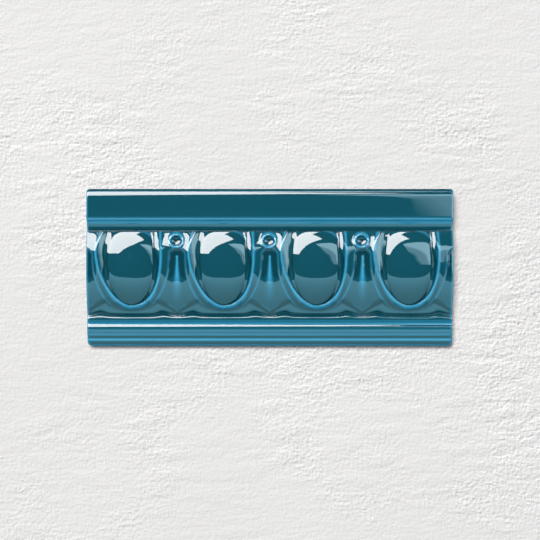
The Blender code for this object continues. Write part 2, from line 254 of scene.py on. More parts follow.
# The egg and the frame round it, whose left limb stands wider and leans in more than its right
WIDEST_Y = -0.0030
EGG = {-1: Oval(0.0112, WIDEST_Y, -0.0200, 2.1), 1: Oval(0.0111, WIDEST_Y, -0.0200, 2.2)}
EGG_DEPTH_ABOVE = 0.0300
EGG_CORNER = {-1: Oval(0.0104, 0.0095, 0.0032, 3.2), 1: Oval(0.0101, 0.0078, 0.0000, 2.6)}
EGG_CORNER_DROP = 1.3
EGG_RIM = Oval(0.0089, WIDEST_Y, -0.0152, 1.9)
EGG_RIM_DROP = 2.2
EGG_RIM_LENGTH = 0.0040
EGG_RISE = 0.0052
EGG_EDGE_DROP = 0.0200
EGG_FOOT = 0.0036
EGG_DOME_POWER = 0.55
CREST = {-1: Oval(0.0145, 0.0070, -0.0162, 1.75, 0.0021), 1: Oval(0.0125, 0.0058, -0.0162, 2.25, 0.0005)}
CREST_RISE = 0.00035
FLANK_WIDTH = {-1: 0.0034, 1: 0.0026}
FLANK_FOOT_WIDTH = 0.0005
FLANK_NARROW_FROM = {-1: 0.0045, 1: 0.0090}
FLANK_NARROW_TO = {-1: -0.0050, 1: 0.0020}
FLANK_SLOPE = {-1: 0.35, 1: 0.15}
FLANK_FOOT_SLOPE = {-1: 0.95, 1: 0.60}
FLANK_DROP = 2.0
STRIP = Oval(0.0159, 0.0052, -0.0186, 2.15)
STRIP_FALL = 0.0007
STRIP_FOOT_FALL = 0.0015
STRIP_DROP = 1.6
STRIP_DEEPENS = (-0.0120, -0.0160)
ROLL_START = 0.0068
ROLL_SLOPE = 0.28
ROLL_TURN = 0.0012
ROLL_EASE_START = 0.0105
ROLL_EASE = 18.0
ROLL_ACROSS = (-0.0012, 0.0006)
NOTCH_X = {-1: 0.0138, 1: 0.0116}
NOTCH_WIDTH = {-1: 0.0013, 1: 0.0009}
NOTCH_FOOT_Y = {-1: 0.0118, 1: 0.0098}
NOTCH_SLOPE = 0.8

# The dart between two frames, and the eyelet above it
RECESS_DEPTH = 0.0015
LEAF_DEPTH = 0.0006
RECESS_Y = 0.0020
LEAF_Y = -0.0048
DART_TOP = 0.0056
DART_RISE_LENGTH = 0.0012
DART_NARROWING = 0.0004
DART_RISE = 0.0003
DART_WIDTH = 0.0008
LEAF_WIDTH = 0.0028
LEAF_WIDENS_OVER = 0.0110
DART_SHOULDER_Y = -0.0140
DART_TIP_Y = -0.0176
DART_HALF_WIDTH = 0.0056
DART_EDGE_DROP = 0.55
EYELET_X = -0.0004
EYELET_Y = 0.0115
EYELET_RADIUS = 0.0028
EYELET_RISE = 0.0006
EYELET_DROP = 1.8
EYELET_INNER_DROP = 0.7
EYELET_ROUND = 0.0004
EYELET_DIMPLE = 0.0019
EYELET_LIFT = (EYELET_RADIUS * 0.8, EYELET_RADIUS)

# Softened arrises and the back
END_ROUND = 0.0006
END_DROP = 0.0005
CORNER_RADIUS_TOP = 0.0010
CORNER_RADIUS_BOTTOM = 0.0020
GLAZE_SPREAD = 0.00018
BACK_ROUND = 0.0004
BACK_RIM = 0.0020

# The sides' rows below the front's rim: a share of the row above's height, what is added to it, and an inset
SIDE_ROWS = (
    (1.0, -0.0010, 0.0),
    (0.6, 0.0, 0.0),
    (0.5, 0.0, 0.0),
    (0.0, BACK_ROUND, 0.0),
    (0.0, 0.0, 0.4 * BACK_ROUND),
)
FRONT_DEPTH = 0.0004

# Where the glaze lies thin and shows lighter: how much, over what width, and for straight lines how far up
THIN_LINES = (
    (0.0322, 0.10, 0.0005),
    (0.0195, 1.00, 0.0010),
    (-0.0221, 0.30, 0.0004),
    (-0.0232, 0.55, 0.0006),
    (-0.0262, 0.20, 0.0012),
    (-0.0278, 0.55, 0.0005),
    (-0.0300, 1.00, 0.00050),
    (-0.0324, 0.90, 0.0003),
)
THIN_CREST = (0.88, 0.00047)
THIN_STRIP = (0.45, 0.00045)
THIN_EGG = (0.5, 0.0004)
THIN_EYELET = (0.9, 0.0006)
THIN_LEAF = (0.18, 0.0004)
THIN_END = (0.6, 0.0004)

# Where each of those starts and stops, as a place where it is none and a place where it is whole
END_INSET = 0.0002
RELIEF_FOOT = (-0.0205, -0.0165)
RELIEF_HEAD = (RELIEF_TOP + 0.0002, RELIEF_TOP - 0.0006)
EYELET_CLEAR = (EYELET_RADIUS, EYELET_RADIUS + 0.0008)
CREST_WIDER_BELOW = (0.0060, 0.0140)
EGG_SHOULDER = (0.0095, 0.0120)
EGG_SHOULDER_X = 0.003
STRIP_FOOT = (-0.0165, -0.0130)
STRIP_FADE = (-0.0090, -0.0020)
STRIP_FADE_SHARE = 0.4
LEAF_UPPER_END = (-0.0130, -0.0150)
LEAF_LOWER_END = (-0.0185, -0.0178)
LEAF_SIDE_END = (0.0046, 0.0030)

# The pale line down the dart's ridge, which widens and fades towards the leaf's tip
RIDGE_WIDTH = 0.0004
RIDGE_WIDENING = 0.0012
RIDGE_WIDENS = (-0.0050, 0.0140)
RIDGE_FOOT = (DART_TIP_Y, DART_TIP_Y + 0.0100)
RIDGE_HEAD = (DART_TOP, DART_TOP - 0.0010)
RIDGE_STRENGTH = (0.3, 0.6)
RIDGE_FADE = (0.0030, 0.0090)
RIDGE_FADE_SHARE = 0.75

# Where the glaze pools: how far a hollow lies below the mean round it, and the recess round a dart
POOL_SPREAD = 0.0008
POOL_DEPTH = 0.00007
RECESS_POOL = 0.85
RECESS_SIDE = (0.0002, 0.0009)
RECESS_FOOT = (-0.0050, -0.0030)
RECESS_HEAD = (0.0084, 0.0074)


def soft_max(a, b, blend):
    """The larger of two heights, with the corner between them filleted over blend."""
    mix = np.clip(0.5 + 0.5 * (a - b) / blend, 0, 1)
    return b + (a - b) * mix + blend * mix * (1 - mix)


def ramp(value, start, end):
    """0 before start and 1 after end, with a smooth step between them."""
    t = np.clip((value - start) / (end - start), 0, 1)
    return t * t * (3 - 2 * t)


def eased(distance, turn):
    """A slope's run that bends from level to one in one over a distance of turn."""
    run = np.maximum(distance, 0)
    return run - turn * (1 - np.exp(-run / turn))


def ovolo(y):
    """Height of the convex band: an arc above, level in the middle, bending to an even slope below."""
    up = np.clip(y - OVOLO_UPPER_START, 0, OVOLO_UPPER_END)
    fall_up = OVOLO_UPPER_RADIUS - np.sqrt(OVOLO_UPPER_RADIUS**2 - up**2)
    return OVOLO_Z - fall_up - OVOLO_LOWER_SLOPE * eased(OVOLO_LOWER_START - y, OVOLO_LOWER_TURN)


def by_side(across, function):
    """Evaluates a function for the egg's left and right sides and takes each place's own."""
    return np.where(across < 0, function(-1), function(1))


def crest_offset(across, y):
    """Signed distance outside the frame's inner crest, a U that leans in towards its open top."""
    return by_side(across, lambda side: CREST[side].offset(across, y))


def strip_offset(across, y, pitch):
    """Signed distance outside the strip's outer edge, whose top arches over the dart."""
    from_dart = np.hypot(pitch / 2 - np.abs(across), np.maximum(y - STRIP.widest_y, 0))
    return np.where(y < STRIP.widest_y, STRIP.offset(across, y), pitch / 2 - STRIP.half_width - from_dart)


def egg_height(across, y):
    """The egg: a dome z = rise * (1 - r^2)^power over its oval, cut down past its upper corners."""

    def side_height(side):
        radial, _, _ = EGG[side].radial(across, y, EGG_DEPTH_ABOVE)
        dome = np.clip(1 - radial**2, 0, 1) ** EGG_DOME_POWER
        corner = EGG_CORNER[side]
        past = corner.offset(across, 2 * corner.widest_y - np.maximum(y, corner.widest_y))
        cut = EGG_CORNER_DROP * np.maximum(past, 0) * (y > corner.widest_y)
        rim = EGG_RIM_DROP * np.maximum(EGG_RIM.offset(across, y), 0) * ramp(-y, 0, EGG_RIM_LENGTH)
        return EGG_RISE * dome - np.maximum(radial - 1, 0) * EGG_EDGE_DROP - cut - rim

    return ovolo(y) - EGG_FOOT + by_side(across, side_height)


def flank_width(y, side):
    """How wide the frame's inner flank is before it drops to the valley: broad above, narrow below."""
    broad = ramp(y, FLANK_NARROW_TO[side], FLANK_NARROW_FROM[side])
    return FLANK_FOOT_WIDTH + (FLANK_WIDTH[side] - FLANK_FOOT_WIDTH) * broad


def frame_height(across, y, pitch):
    """The frame: a sharp crest with a rounded inner flank, a hollow strip, and the strip's outer flank."""
    inner, outer = crest_offset(across, y), strip_offset(across, y, pitch)
    share = np.clip(inner / np.maximum(inner - outer, 1e-6), 0, 1)
    deep = np.maximum(-inner, 0)

    def flank_fall(side):
        width = flank_width(y, side)
        near = np.minimum(deep, width)
        bend = (FLANK_FOOT_SLOPE[side] - FLANK_SLOPE[side]) / (2 * width)
        return FLANK_SLOPE[side] * near + bend * near**2 + FLANK_DROP * (deep - near)

    fall = by_side(across, flank_fall)
    hollow = STRIP_FALL + (STRIP_FOOT_FALL - STRIP_FALL) * ramp(y, *STRIP_DEEPENS)
    fall = fall + hollow * (1 - (1 - share) ** 2) + STRIP_DROP * np.maximum(outer, 0)
    return ovolo(y) + CREST_RISE - fall - roll(y) * ramp(inner, *ROLL_ACROSS)


def notch_depth(across, y):
    """The two small hollows cut where the frame's limbs end at the top."""

    def side_depth(side):
        width = NOTCH_WIDTH[side] * ramp(y, NOTCH_FOOT_Y[side], RELIEF_TOP)
        return NOTCH_SLOPE * np.maximum(width - np.abs(np.abs(across) - NOTCH_X[side]), 0)

    return by_side(across, side_depth)


def roll(y):
    """How far the frames' tops slope away towards the groove above them."""
    return ROLL_SLOPE * eased(y - ROLL_START, ROLL_TURN) - ROLL_EASE * np.maximum(y - ROLL_EASE_START, 0) ** 2


def leaf_offset(from_dart, y):
    """Signed distance outside the dart's leaf, which ends in a point between two straight lower edges."""
    along_x, along_y = DART_HALF_WIDTH, DART_SHOULDER_Y - DART_TIP_Y
    length = math.hypot(along_x, along_y)
    return (from_dart * along_y - (y - DART_TIP_Y) * along_x) / length


def dart_height(from_dart, y):
    """The dart: a rounded ridge that is narrow in the recess above and spreads into the leaf below."""
    into_leaf = np.clip((RECESS_Y - y) / (RECESS_Y - LEAF_Y), 0, 1)
    floor = RECESS_DEPTH + (LEAF_DEPTH - RECESS_DEPTH) * into_leaf
    rise = DART_RISE * ramp(y, DART_TOP, DART_TOP - DART_RISE_LENGTH)
    width = DART_WIDTH + (LEAF_WIDTH - DART_WIDTH) * ramp(-y, 0.0, LEAF_WIDENS_OVER)
    width = width - DART_NARROWING * np.clip(y / DART_TOP, 0, 1)
    ridge = rise * np.exp(-((from_dart / width) ** 2))
    return ovolo(y) - floor + ridge - DART_EDGE_DROP * np.maximum(leaf_offset(from_dart, y), 0)


def plate_wave(from_dart):
    """How far the plate's lower edge rises on each side of a dart."""
    return PLATE_WAVE * np.exp(-(((from_dart - PLATE_WAVE_X) / PLATE_WAVE_WIDTH) ** 2))


def plate_height(from_dart, y):
    """The plate under the ornament, which drops to the quirk past its wavy lower edge."""
    beyond = np.maximum(PLATE_EDGE_Y + plate_wave(from_dart) - y, 0)
    level = ovolo(np.maximum(y, PLATE_TURN_Y)) - PLATE_DEPTH - PLATE_SLOPE * np.maximum(PLATE_TURN_Y - y, 0)
    return level - PLATE_DROP * beyond


def eyelet_height(x, across, y, sizes):
    """The eyelet between two frames: a ring that holds a dimple, and the distance from its centre."""
    pitch = sizes.pitch
    aside = (across + pitch / 2 - EYELET_X + pitch / 2) % pitch - pitch / 2
    aside = np.where(np.abs(x) < pitch * (sizes.eggs - 1) / 2, aside, pitch)
    radius = np.hypot(aside, y - EYELET_Y)
    inside = radius < EYELET_RADIUS
    away = np.hypot(radius - EYELET_RADIUS, EYELET_ROUND) - EYELET_ROUND
    ring = EYELET_RISE - np.where(inside, EYELET_INNER_DROP, EYELET_DROP) * away
    lift = (ovolo(y) - roll(y) - ovolo(EYELET_Y) + roll(EYELET_Y)) * ramp(radius, *EYELET_LIFT)
    bowl = EYELET_RISE - EYELET_DIMPLE * np.clip(1 - (radius / EYELET_RADIUS) ** 2, 0, 1)
    base = ovolo(EYELET_Y) - roll(EYELET_Y)
    height = np.where(inside, base + lift + np.minimum(bowl, ring), ovolo(y) - roll(y) + ring)
    return height, radius


def relief_height(x, y, sizes):
    """Height of the ornamented band: the highest of its plate, frames, eggs, darts and eyelets, filleted."""
    pitch = sizes.pitch
    across = (x + pitch * sizes.eggs / 2) % pitch - pitch / 2
    from_dart = pitch / 2 - np.abs(across)
    quirk_y, quirk_z = np.array(QUIRK).T
    follow = QUIRK_WAVE * plate_wave(from_dart) * ramp(y, *WAVE_FOOT)
    line = np.interp(y - follow, quirk_y, quirk_z)
    line = line + (GROOVE_Z - quirk_z[-1]) * ramp(y, *GROUND_RISE)
    height = soft_max(plate_height(from_dart, y), line, QUIRK_FILLET)
    frames = frame_height(across, y, pitch) - notch_depth(across, y)
    for form in (frames, egg_height(across, y), dart_height(from_dart, y)):
        height = soft_max(height, form, FILLET)
    eyelet, radius = eyelet_height(x, across, y, sizes)
    height = np.where(radius < EYELET_RADIUS, eyelet, soft_max(height, eyelet, FILLET))
    return line + (height - line) * ramp(RELIEF_TOP - y, 0, LEDGE)


def glaze_thinness(x, y, sizes):
    """How thin the glaze lies on the arrises that it drains from, from 0 to 1."""
    pitch = sizes.pitch
    across = (x + pitch * sizes.eggs / 2) % pitch - pitch / 2
    from_dart = pitch / 2 - np.abs(across)

    def line(distance, strength, width):
        return strength * np.exp(-((distance / width) ** 2))

    thin = [line(y - place, strength, width) for place, strength, width in THIN_LINES]
    thin.append(line(np.abs(x) - end_x(y, sizes) + END_INSET, *THIN_END))
    _, radius = eyelet_height(x, across, y, sizes)
    clear = ramp(y, *RELIEF_FOOT) * ramp(y, *RELIEF_HEAD) * ramp(radius, *EYELET_CLEAR)
    strength, width = THIN_CREST
    crest = crest_offset(across, y)
    width = width * (1 + ramp(-y, *CREST_WIDER_BELOW) * (crest > 0))
    thin.append(clear * line(crest, strength, width))
    corner = EGG_CORNER[1]
    past = corner.offset(across, 2 * corner.widest_y - y)
    shoulder = ramp(y, *EGG_SHOULDER) * (across > EGG_SHOULDER_X) * (y < RELIEF_TOP)
    thin.append(shoulder * line(past, *THIN_EGG))
    beside_leaf = ramp(y, *STRIP_FOOT) * (1 - STRIP_FADE_SHARE * ramp(y, *STRIP_FADE))
    thin.append(clear * beside_leaf * line(strip_offset(across, y, pitch), *THIN_STRIP))
    at_tip = ramp(y, *LEAF_UPPER_END) * ramp(y, *LEAF_LOWER_END) * ramp(from_dart, *LEAF_SIDE_END)
    thin.append(at_tip * line(leaf_offset(from_dart, y), *THIN_LEAF))
    thin.append(line(radius - EYELET_RADIUS, *THIN_EYELET))
    ridge = ramp(y, *RIDGE_FOOT) * ramp(y, *RIDGE_HEAD)
    least, more = RIDGE_STRENGTH
    strength = (least + more * ridge) * (1 - RIDGE_FADE_SHARE * ramp(-y, *RIDGE_FADE))
    thin.append(ridge * line(from_dart, strength, RIDGE_WIDTH + RIDGE_WIDENING * ramp(-y, *RIDGE_WIDENS)))
    return np.max(thin, axis=0)


def recess_pool(x, y, sizes):
    """How much of the glaze has run together in the recess round a dart, from 0 to 1."""
    across = (x + sizes.pitch * sizes.eggs / 2) % sizes.pitch - sizes.pitch / 2
    between = ramp(strip_offset(across, y, sizes.pitch), *RECESS_SIDE)
    return RECESS_POOL * between * ramp(y, *RECESS_FOOT) * ramp(y, *RECESS_HEAD)


def section_points(sizes):
    """The straight mouldings' section from the bottom edge to the top edge, straight across the ornament."""
    turn = np.linspace(0, math.pi / 2, TOP_ROUND_POINTS)
    top = sizes.height / 2
    nose_y = top - TOP_ROUND_Y * (1 - np.cos(turn))
    nose_z = BAND_Z - TOP_ROUND_Z * (1 - np.sin(turn))
    ys = [*nose_y, *(p[0] for p in BAND_FOOT), *(p[0] for p in LOWER_MOULDINGS)]
    zs = [*nose_z, *(p[1] for p in BAND_FOOT), *(p[1] for p in LOWER_MOULDINGS)]
    return np.array(ys[::-1]), np.array(zs[::-1])


def tile_height(x, y, sizes):
    """Height of the whole front before the glaze: the section, or the relief inside its two limits."""
    ys, zs = section_points(sizes)
    straight = np.interp(y, ys, zs)
    inside = (y > RELIEF_BOTTOM) & (y < RELIEF_TOP)
    height = np.where(inside, relief_height(x, np.clip(y, RELIEF_BOTTOM, RELIEF_TOP), sizes), straight)
    inset = np.clip((sizes.length / 2 - np.abs(x)) / END_ROUND, 0, 1)
    return height - END_DROP * (1 - np.sqrt(1 - (1 - inset) ** 2))


def spread(x, y, sizes, radius):
    """Mean height over a small disc, at its centre and on rings of places, as a glaze levels it."""
    total, weight = tile_height(x, y, sizes), 1.0
    for share, count, part in SPREAD_RINGS:
        for angle in np.arange(count) * 2 * math.pi / count:
            dx, dy = radius * share * math.cos(angle), radius * share * math.sin(angle)
            px = np.clip(x + dx, -sizes.length / 2, sizes.length / 2)
            py = np.clip(y + dy, -sizes.height / 2, sizes.height / 2)
            total, weight = total + part * tile_height(px, py, sizes), weight + part
    return total / weight


def end_x(y, sizes):
    """Half the tile's length at a height up the tile, less the rounding of its corners."""
    top = np.clip(CORNER_RADIUS_TOP - (sizes.height / 2 - y), 0, CORNER_RADIUS_TOP)
    bottom = np.clip(CORNER_RADIUS_BOTTOM - (y + sizes.height / 2), 0, CORNER_RADIUS_BOTTOM)
    cut_top = CORNER_RADIUS_TOP - np.sqrt(CORNER_RADIUS_TOP**2 - top**2)
    cut_bottom = CORNER_RADIUS_BOTTOM - np.sqrt(CORNER_RADIUS_BOTTOM**2 - bottom**2)
    return sizes.length / 2 - cut_top - cut_bottom


# Where the surface is sampled, for half of one bay
SIDE_STEPS = 52
LEDGE_STEPS = 7
EDGE_ROWS = (0.25, 0.5, 0.75, 1.0, 1.3, 1.7)
BOTTOM_STEPS = 60
CORNER_STEP = 36
EGG_STEPS = 22
VALLEY_STEPS = 13
STRIP_STEPS = 8
GROUND_STEPS = 16
END_STEPS = 5
TOP_ROUND_POINTS = 16
BAND_ROWS = 38
FOOT_ROWS = 60
END_BLEND = 0.0040
SAME_PLACE = 1e-6

# The rings of places whose mean levels the glaze: a share of the radius, how many, and their weight
SPREAD_RINGS = ((0.5, 6, 0.75), (1.0, 10, 0.4))


def bay_places(reach, side):
    """Places on half of one bay, on lines that follow the egg's edge, the frame's crest and the strip's edge.

    Above the egg's widest place the rows run level; below it they are rays, each through one place on
    every superellipse (a*cos(t)^(2/n), b*sin(t)^(2/n)), out to the bay's side and then its foot.
    """
    edge = RELIEF_TOP - LEDGE * np.arange(LEDGE_STEPS) / (LEDGE_STEPS - 1) * 2
    levels = np.concatenate([edge, np.linspace(edge[-1], WIDEST_Y, SIDE_STEPS - LEDGE_STEPS + 2)[1:-1]])
    ovals = (EGG_RIM, CREST[side], STRIP)
    widths = [0 * levels, *(o.half_width_at(levels) for o in ovals), reach + 0 * levels]
    upper = [np.stack([width, levels], axis=-1) for width in widths]
    lower = [np.tile([0.0, WIDEST_Y], (BOTTOM_STEPS + 1, 1))]
    for o in ovals:
        start = math.asin(((o.widest_y - WIDEST_Y) / o.depth()) ** (o.power / 2))
        turn = np.linspace(start, math.pi / 2, BOTTOM_STEPS + 1)
        wide, deep = np.maximum(np.cos(turn), 0) ** (2 / o.power), np.sin(turn) ** (2 / o.power)
        wide[-1] = 0
        lower.append(np.stack([o.half_width * wide, o.widest_y - o.depth() * deep], axis=-1))
    step = np.arange(BOTTOM_STEPS + 1)
    down = np.minimum(step / CORNER_STEP, 1)
    along = 1 - np.maximum(step - CORNER_STEP, 0) / (BOTTOM_STEPS - CORNER_STEP)
    lower.append(np.stack([reach * along, WIDEST_Y + (RELIEF_BOTTOM - WIDEST_Y) * down], axis=-1))
    guides = np.array([np.concatenate(pair) for pair in zip(upper, lower)])
    lines = [guides[:1]]
    shares = (
        np.sin(np.linspace(0, math.pi / 2, EGG_STEPS + 1)),
        np.linspace(0, 1, VALLEY_STEPS + 1),
        np.linspace(0, 1, STRIP_STEPS + 1),
        np.linspace(0, 1, GROUND_STEPS + 1),
    )
    for i, share in enumerate(shares):
        lines.append(guides[i] + (guides[i + 1] - guides[i]) * share[1:, None, None])
    return np.concatenate(lines).transpose(1, 0, 2)


def front_sheets(sizes):
    """Grids of places over the whole front: the half bays, two end strips and the straight mouldings."""
    sheets = []
    pitch, half = sizes.pitch, sizes.length / 2
    turn = np.linspace(0, math.pi / 2, END_STEPS + 1)
    top_row, bottom_row = [], []
    for egg in range(sizes.eggs):
        centre = pitch * (egg - (sizes.eggs - 1) / 2)
        for side in (-1, 1):
            at_end = egg == (0 if side < 0 else sizes.eggs - 1)
            reach = half - abs(centre) - END_ROUND if at_end else pitch / 2
            places = bay_places(reach, side)
            grids = [places]
            if at_end:
                edge = places[: SIDE_STEPS + CORNER_STEP + 1, -1]
                strip = np.repeat(edge[:, None], END_STEPS + 1, axis=1)
                strip[..., 0] += END_ROUND * np.sin(turn)
                grids.append(strip)
            for grid in grids:
                sheets.append(np.stack([centre + side * grid[..., 0], grid[..., 1]], axis=-1))
            top_row.append(centre + side * np.concatenate([g[0, :, 0] for g in grids]))
            bottom_row.append(centre + side * places[SIDE_STEPS + CORNER_STEP :, -1, 0])
            if at_end:
                bottom_row.append(centre + side * grids[1][-1, :, 0])
    for row, above in ((top_row, True), (bottom_row, False)):
        xs = np.unique(np.round(np.concatenate(row), 8))
        ys = section_rows(sizes, above)
        ends = end_x(ys, sizes)
        grid_x = xs[None, :] * np.ones_like(ys)[:, None]
        squeeze = np.clip((np.abs(grid_x) - (half - END_BLEND)) / END_BLEND, 0, 1)
        grid_x = np.sign(grid_x) * (np.abs(grid_x) - squeeze * (half - ends)[:, None])
        sheets.append(np.stack([grid_x, np.repeat(ys[:, None], len(xs), axis=1)], axis=-1))
    return sheets


def section_rows(sizes, above):
    """Rows for the mouldings above or below the ornament, evenly spaced along the section's length."""
    ys, zs = section_points(sizes)
    if above:
        keep, count = ys >= RELIEF_TOP - SAME_PLACE, BAND_ROWS
    else:
        keep, count = ys <= RELIEF_BOTTOM + SAME_PLACE, FOOT_ROWS
    ys, zs = ys[keep], zs[keep]
    run = np.concatenate([[0], np.cumsum(np.hypot(np.diff(ys), np.diff(zs)))])
    rows = np.interp(np.linspace(0, run[-1], count), run, ys)
    near = RELIEF_TOP + GLAZE_SPREAD * np.array(EDGE_ROWS) if above else []
    return np.unique(np.concatenate([rows, near]))


def join_sheets(sheets):
    """One list of places and quads from several grids, each grid's cells in order."""
    points, quads, first = [], [], 0
    for grid in sheets:
        rows, columns = grid.shape[:2]
        index = first + np.arange(rows * columns).reshape(rows, columns)
        cells = np.stack([index[:-1, :-1], index[1:, :-1], index[1:, 1:], index[:-1, 1:]], axis=-1)
        points.append(grid.reshape(-1, grid.shape[-1]))
        quads.append(cells.reshape(-1, 4))
        first += rows * columns
    return np.concatenate(points), np.concatenate(quads)


def add_sides_and_back(bm, sizes):
    """Draws the front's rim down to the back, row by row, and closes the back with one face."""
    rim = [edge for edge in bm.edges if edge.is_boundary]
    for share, extra, inset in SIDE_ROWS:
        made = bmesh.ops.extrude_edge_only(bm, edges=rim)["geom"]
        for vert in (v for v in made if isinstance(v, bmesh.types.BMVert)):
            vert.co.z = vert.co.z * share + extra
            vert.co.x -= math.copysign(inset, vert.co.x) * (sizes.length / 2 - abs(vert.co.x) < BACK_RIM)
            vert.co.y -= math.copysign(inset, vert.co.y) * (sizes.height / 2 - abs(vert.co.y) < BACK_RIM)
        rim = [e for e in made if isinstance(e, bmesh.types.BMEdge) and e.is_boundary]
    bmesh.ops.contextual_create(bm, geom=rim)
    bmesh.ops.recalc_face_normals(bm, faces=bm.faces[:])


def mark_glaze(mesh, sizes):
    """Keeps on each vertex how thin the glaze lies there and how far it has pooled, on the front alone."""
    co = np.empty(len(mesh.vertices) * 3)
    mesh.vertices.foreach_get("co", co)
    x, y, z = co.reshape(-1, 3).T
    near, far = spread(x, y, sizes, GLAZE_SPREAD), spread(x, y, sizes, POOL_SPREAD)
    pooled = np.maximum(np.clip((far - near) / POOL_DEPTH, 0, 1), recess_pool(x, y, sizes))
    on_front = z > near - FRONT_DEPTH
    for name, amount in (("thin", glaze_thinness(x, y, sizes)), ("pooled", pooled)):
        layer = mesh.attributes.new(name, "FLOAT", "POINT")
        layer.data.foreach_set("value", (amount * on_front).astype(np.float32))


class MESH_OT_moulding_tile(bpy.types.Operator):
    """Add the glazed tile: the relief, the straight mouldings, the sides and the flat back"""

    bl_idname = "mesh.moulding_tile_add"
    bl_label = "Moulding tile"
    bl_options = {"REGISTER", "UNDO"}

    def execute(self, context):
        sizes = context.scene.tile_sizes
        flat, quads = join_sheets(front_sheets(sizes))
        heights = spread(flat[:, 0], flat[:, 1], sizes, GLAZE_SPREAD)
        mesh = bpy.data.meshes.new("glazed_tile")
        mesh.from_pydata(np.column_stack([flat, heights]), [], quads)
        bm = bmesh.new()
        bm.from_mesh(mesh)
        bmesh.ops.remove_doubles(bm, verts=bm.verts[:], dist=SAME_PLACE)
        add_sides_and_back(bm, sizes)
        bm.to_mesh(mesh)
        bm.free()
        mark_glaze(mesh, sizes)
        mesh.shade_smooth()
        tile = bpy.data.objects.new("glazed_tile", mesh)
        # So that the cards the glaze mirrors throw no glare on the plaster round it
        tile.visible_diffuse = False
        context.scene.collection.objects.link(tile)
        mesh.materials.append(glaze_material(context.scene.glaze_look))
        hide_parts("moulding_tile")
        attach(tile, "root")
        return {"FINISHED"}


# The glaze stops short of the back, along a wandering edge
BARE_TO = 0.0023
GLAZED_FROM = 0.0026
BARE_WANDER = 0.0030
BARE_ROUGHNESS = 0.75
WANDER_NOISE = {"Scale": 110.0, "Detail": 3.0}

# The glaze's gloss and its faint orange peel
GLAZE_IOR = 1.55
PEEL_NOISE = {"Scale": 90.0, "Detail": 2.0, "Roughness": 0.4}
PEEL_STRENGTH = 0.06
PEEL_DEPTH = 0.001

# The plaster the tile lies on: its extent, its tone, its trowel's strokes, and the step towards the light for
# the light and shade painted on its strokes
PLASTER_REACH = 3.0
PLASTER_ROUGHNESS = 0.95
PLASTER_TONE = 0.80
PLASTER_TINT = (1.0, 0.993, 0.985)
TROWEL_TURN = (0.0, 0.0, math.radians(-32))
TROWEL_STRETCH = (0.35, 1.0, 1.0)
PAINTED_LIGHT_STEP = (-0.0004, 0.0005, 0.0)

# Each of its noises' scale, detail and roughness, and how strongly each one shows, the painted light and
# shade of its relief among them
RIDGE_NOISE = (95.0, 4.0, 0.6)
GRAIN_NOISE = (700.0, 4.0, 0.7)
PATCH_NOISE = (13.0, 3.0, 0.6)
PIT_NOISE = (330.0, 2.0, 0.5)
TONE_NOISE = (9.0, 2.0, 0.5)
RIDGE_SHARPNESS = 7
RIDGE_SHARE = 0.25
GRAIN_SHARE = 0.8
PATCH_RANGE = (0.42, 0.66)
PIT_RANGE = (0.64, 0.74)
PIT_SHARE = 0.22
TONE_SHARE = 0.06
PAINTED_SHADE_SHARE = 0.50
PATCH_PAINTED_SHADE_SHARE = 1.05


# Shader maths as expressions


class Shade:
    """A shader socket that takes part in Python's arithmetic, or without one a pen that adds nodes."""

    def __init__(self, tree, socket):
        self.tree, self.socket = tree, socket

    def node(self, kind, settings=None, **values):
        """Adds any node: its settings, then its sockets' values or links, by name or as i and a number."""
        made = self.tree.nodes.new(kind)
        for name, value in (settings or {}).items():
            setattr(made, name, value)
        for name, value in values.items():
            numbered = name[0] == "i" and name[1:].isdigit()
            socket = made.inputs[int(name[1:]) if numbered else name]
            if isinstance(value, Shade):
                self.tree.links.new(value.socket, socket)
            else:
                socket.default_value = value
        return made

    def out(self, made, name=0):
        return Shade(self.tree, made.outputs[name])

    def math(self, operation, *values, clamp=False):
        settings = {"operation": operation, "use_clamp": clamp}
        return self.out(self.node("ShaderNodeMath", settings, **{f"i{i}": v for i, v in enumerate(values)}))

    def __add__(self, other):
        return self.math("ADD", self, other)

    __radd__ = __add__

    def __sub__(self, other):
        return self.math("SUBTRACT", self, other)

    def __rsub__(self, other):
        return self.math("SUBTRACT", other, self)

    def __mul__(self, other):
        return self.math("MULTIPLY", self, other)

    __rmul__ = __mul__

    def absolute(self):
        return self.math("ABSOLUTE", self)

    def clamp(self):
        return self.math("ADD", self, 0.0, clamp=True)

    def step(self, start, end):
        """0 below start and 1 above end, with a smooth step between."""
        settings = {"interpolation_type": "SMOOTHSTEP"}
        return self.out(self.node("ShaderNodeMapRange", settings, i0=self, i1=start, i2=end, i3=0.0, i4=1.0))

    def blend(self, first, second):
        """The colour first where this is 0, and second where it is 1."""
        made = self.node("ShaderNodeMix", {"data_type": "RGBA"}, i0=self, i6=first, i7=second)
        return self.out(made, 2)


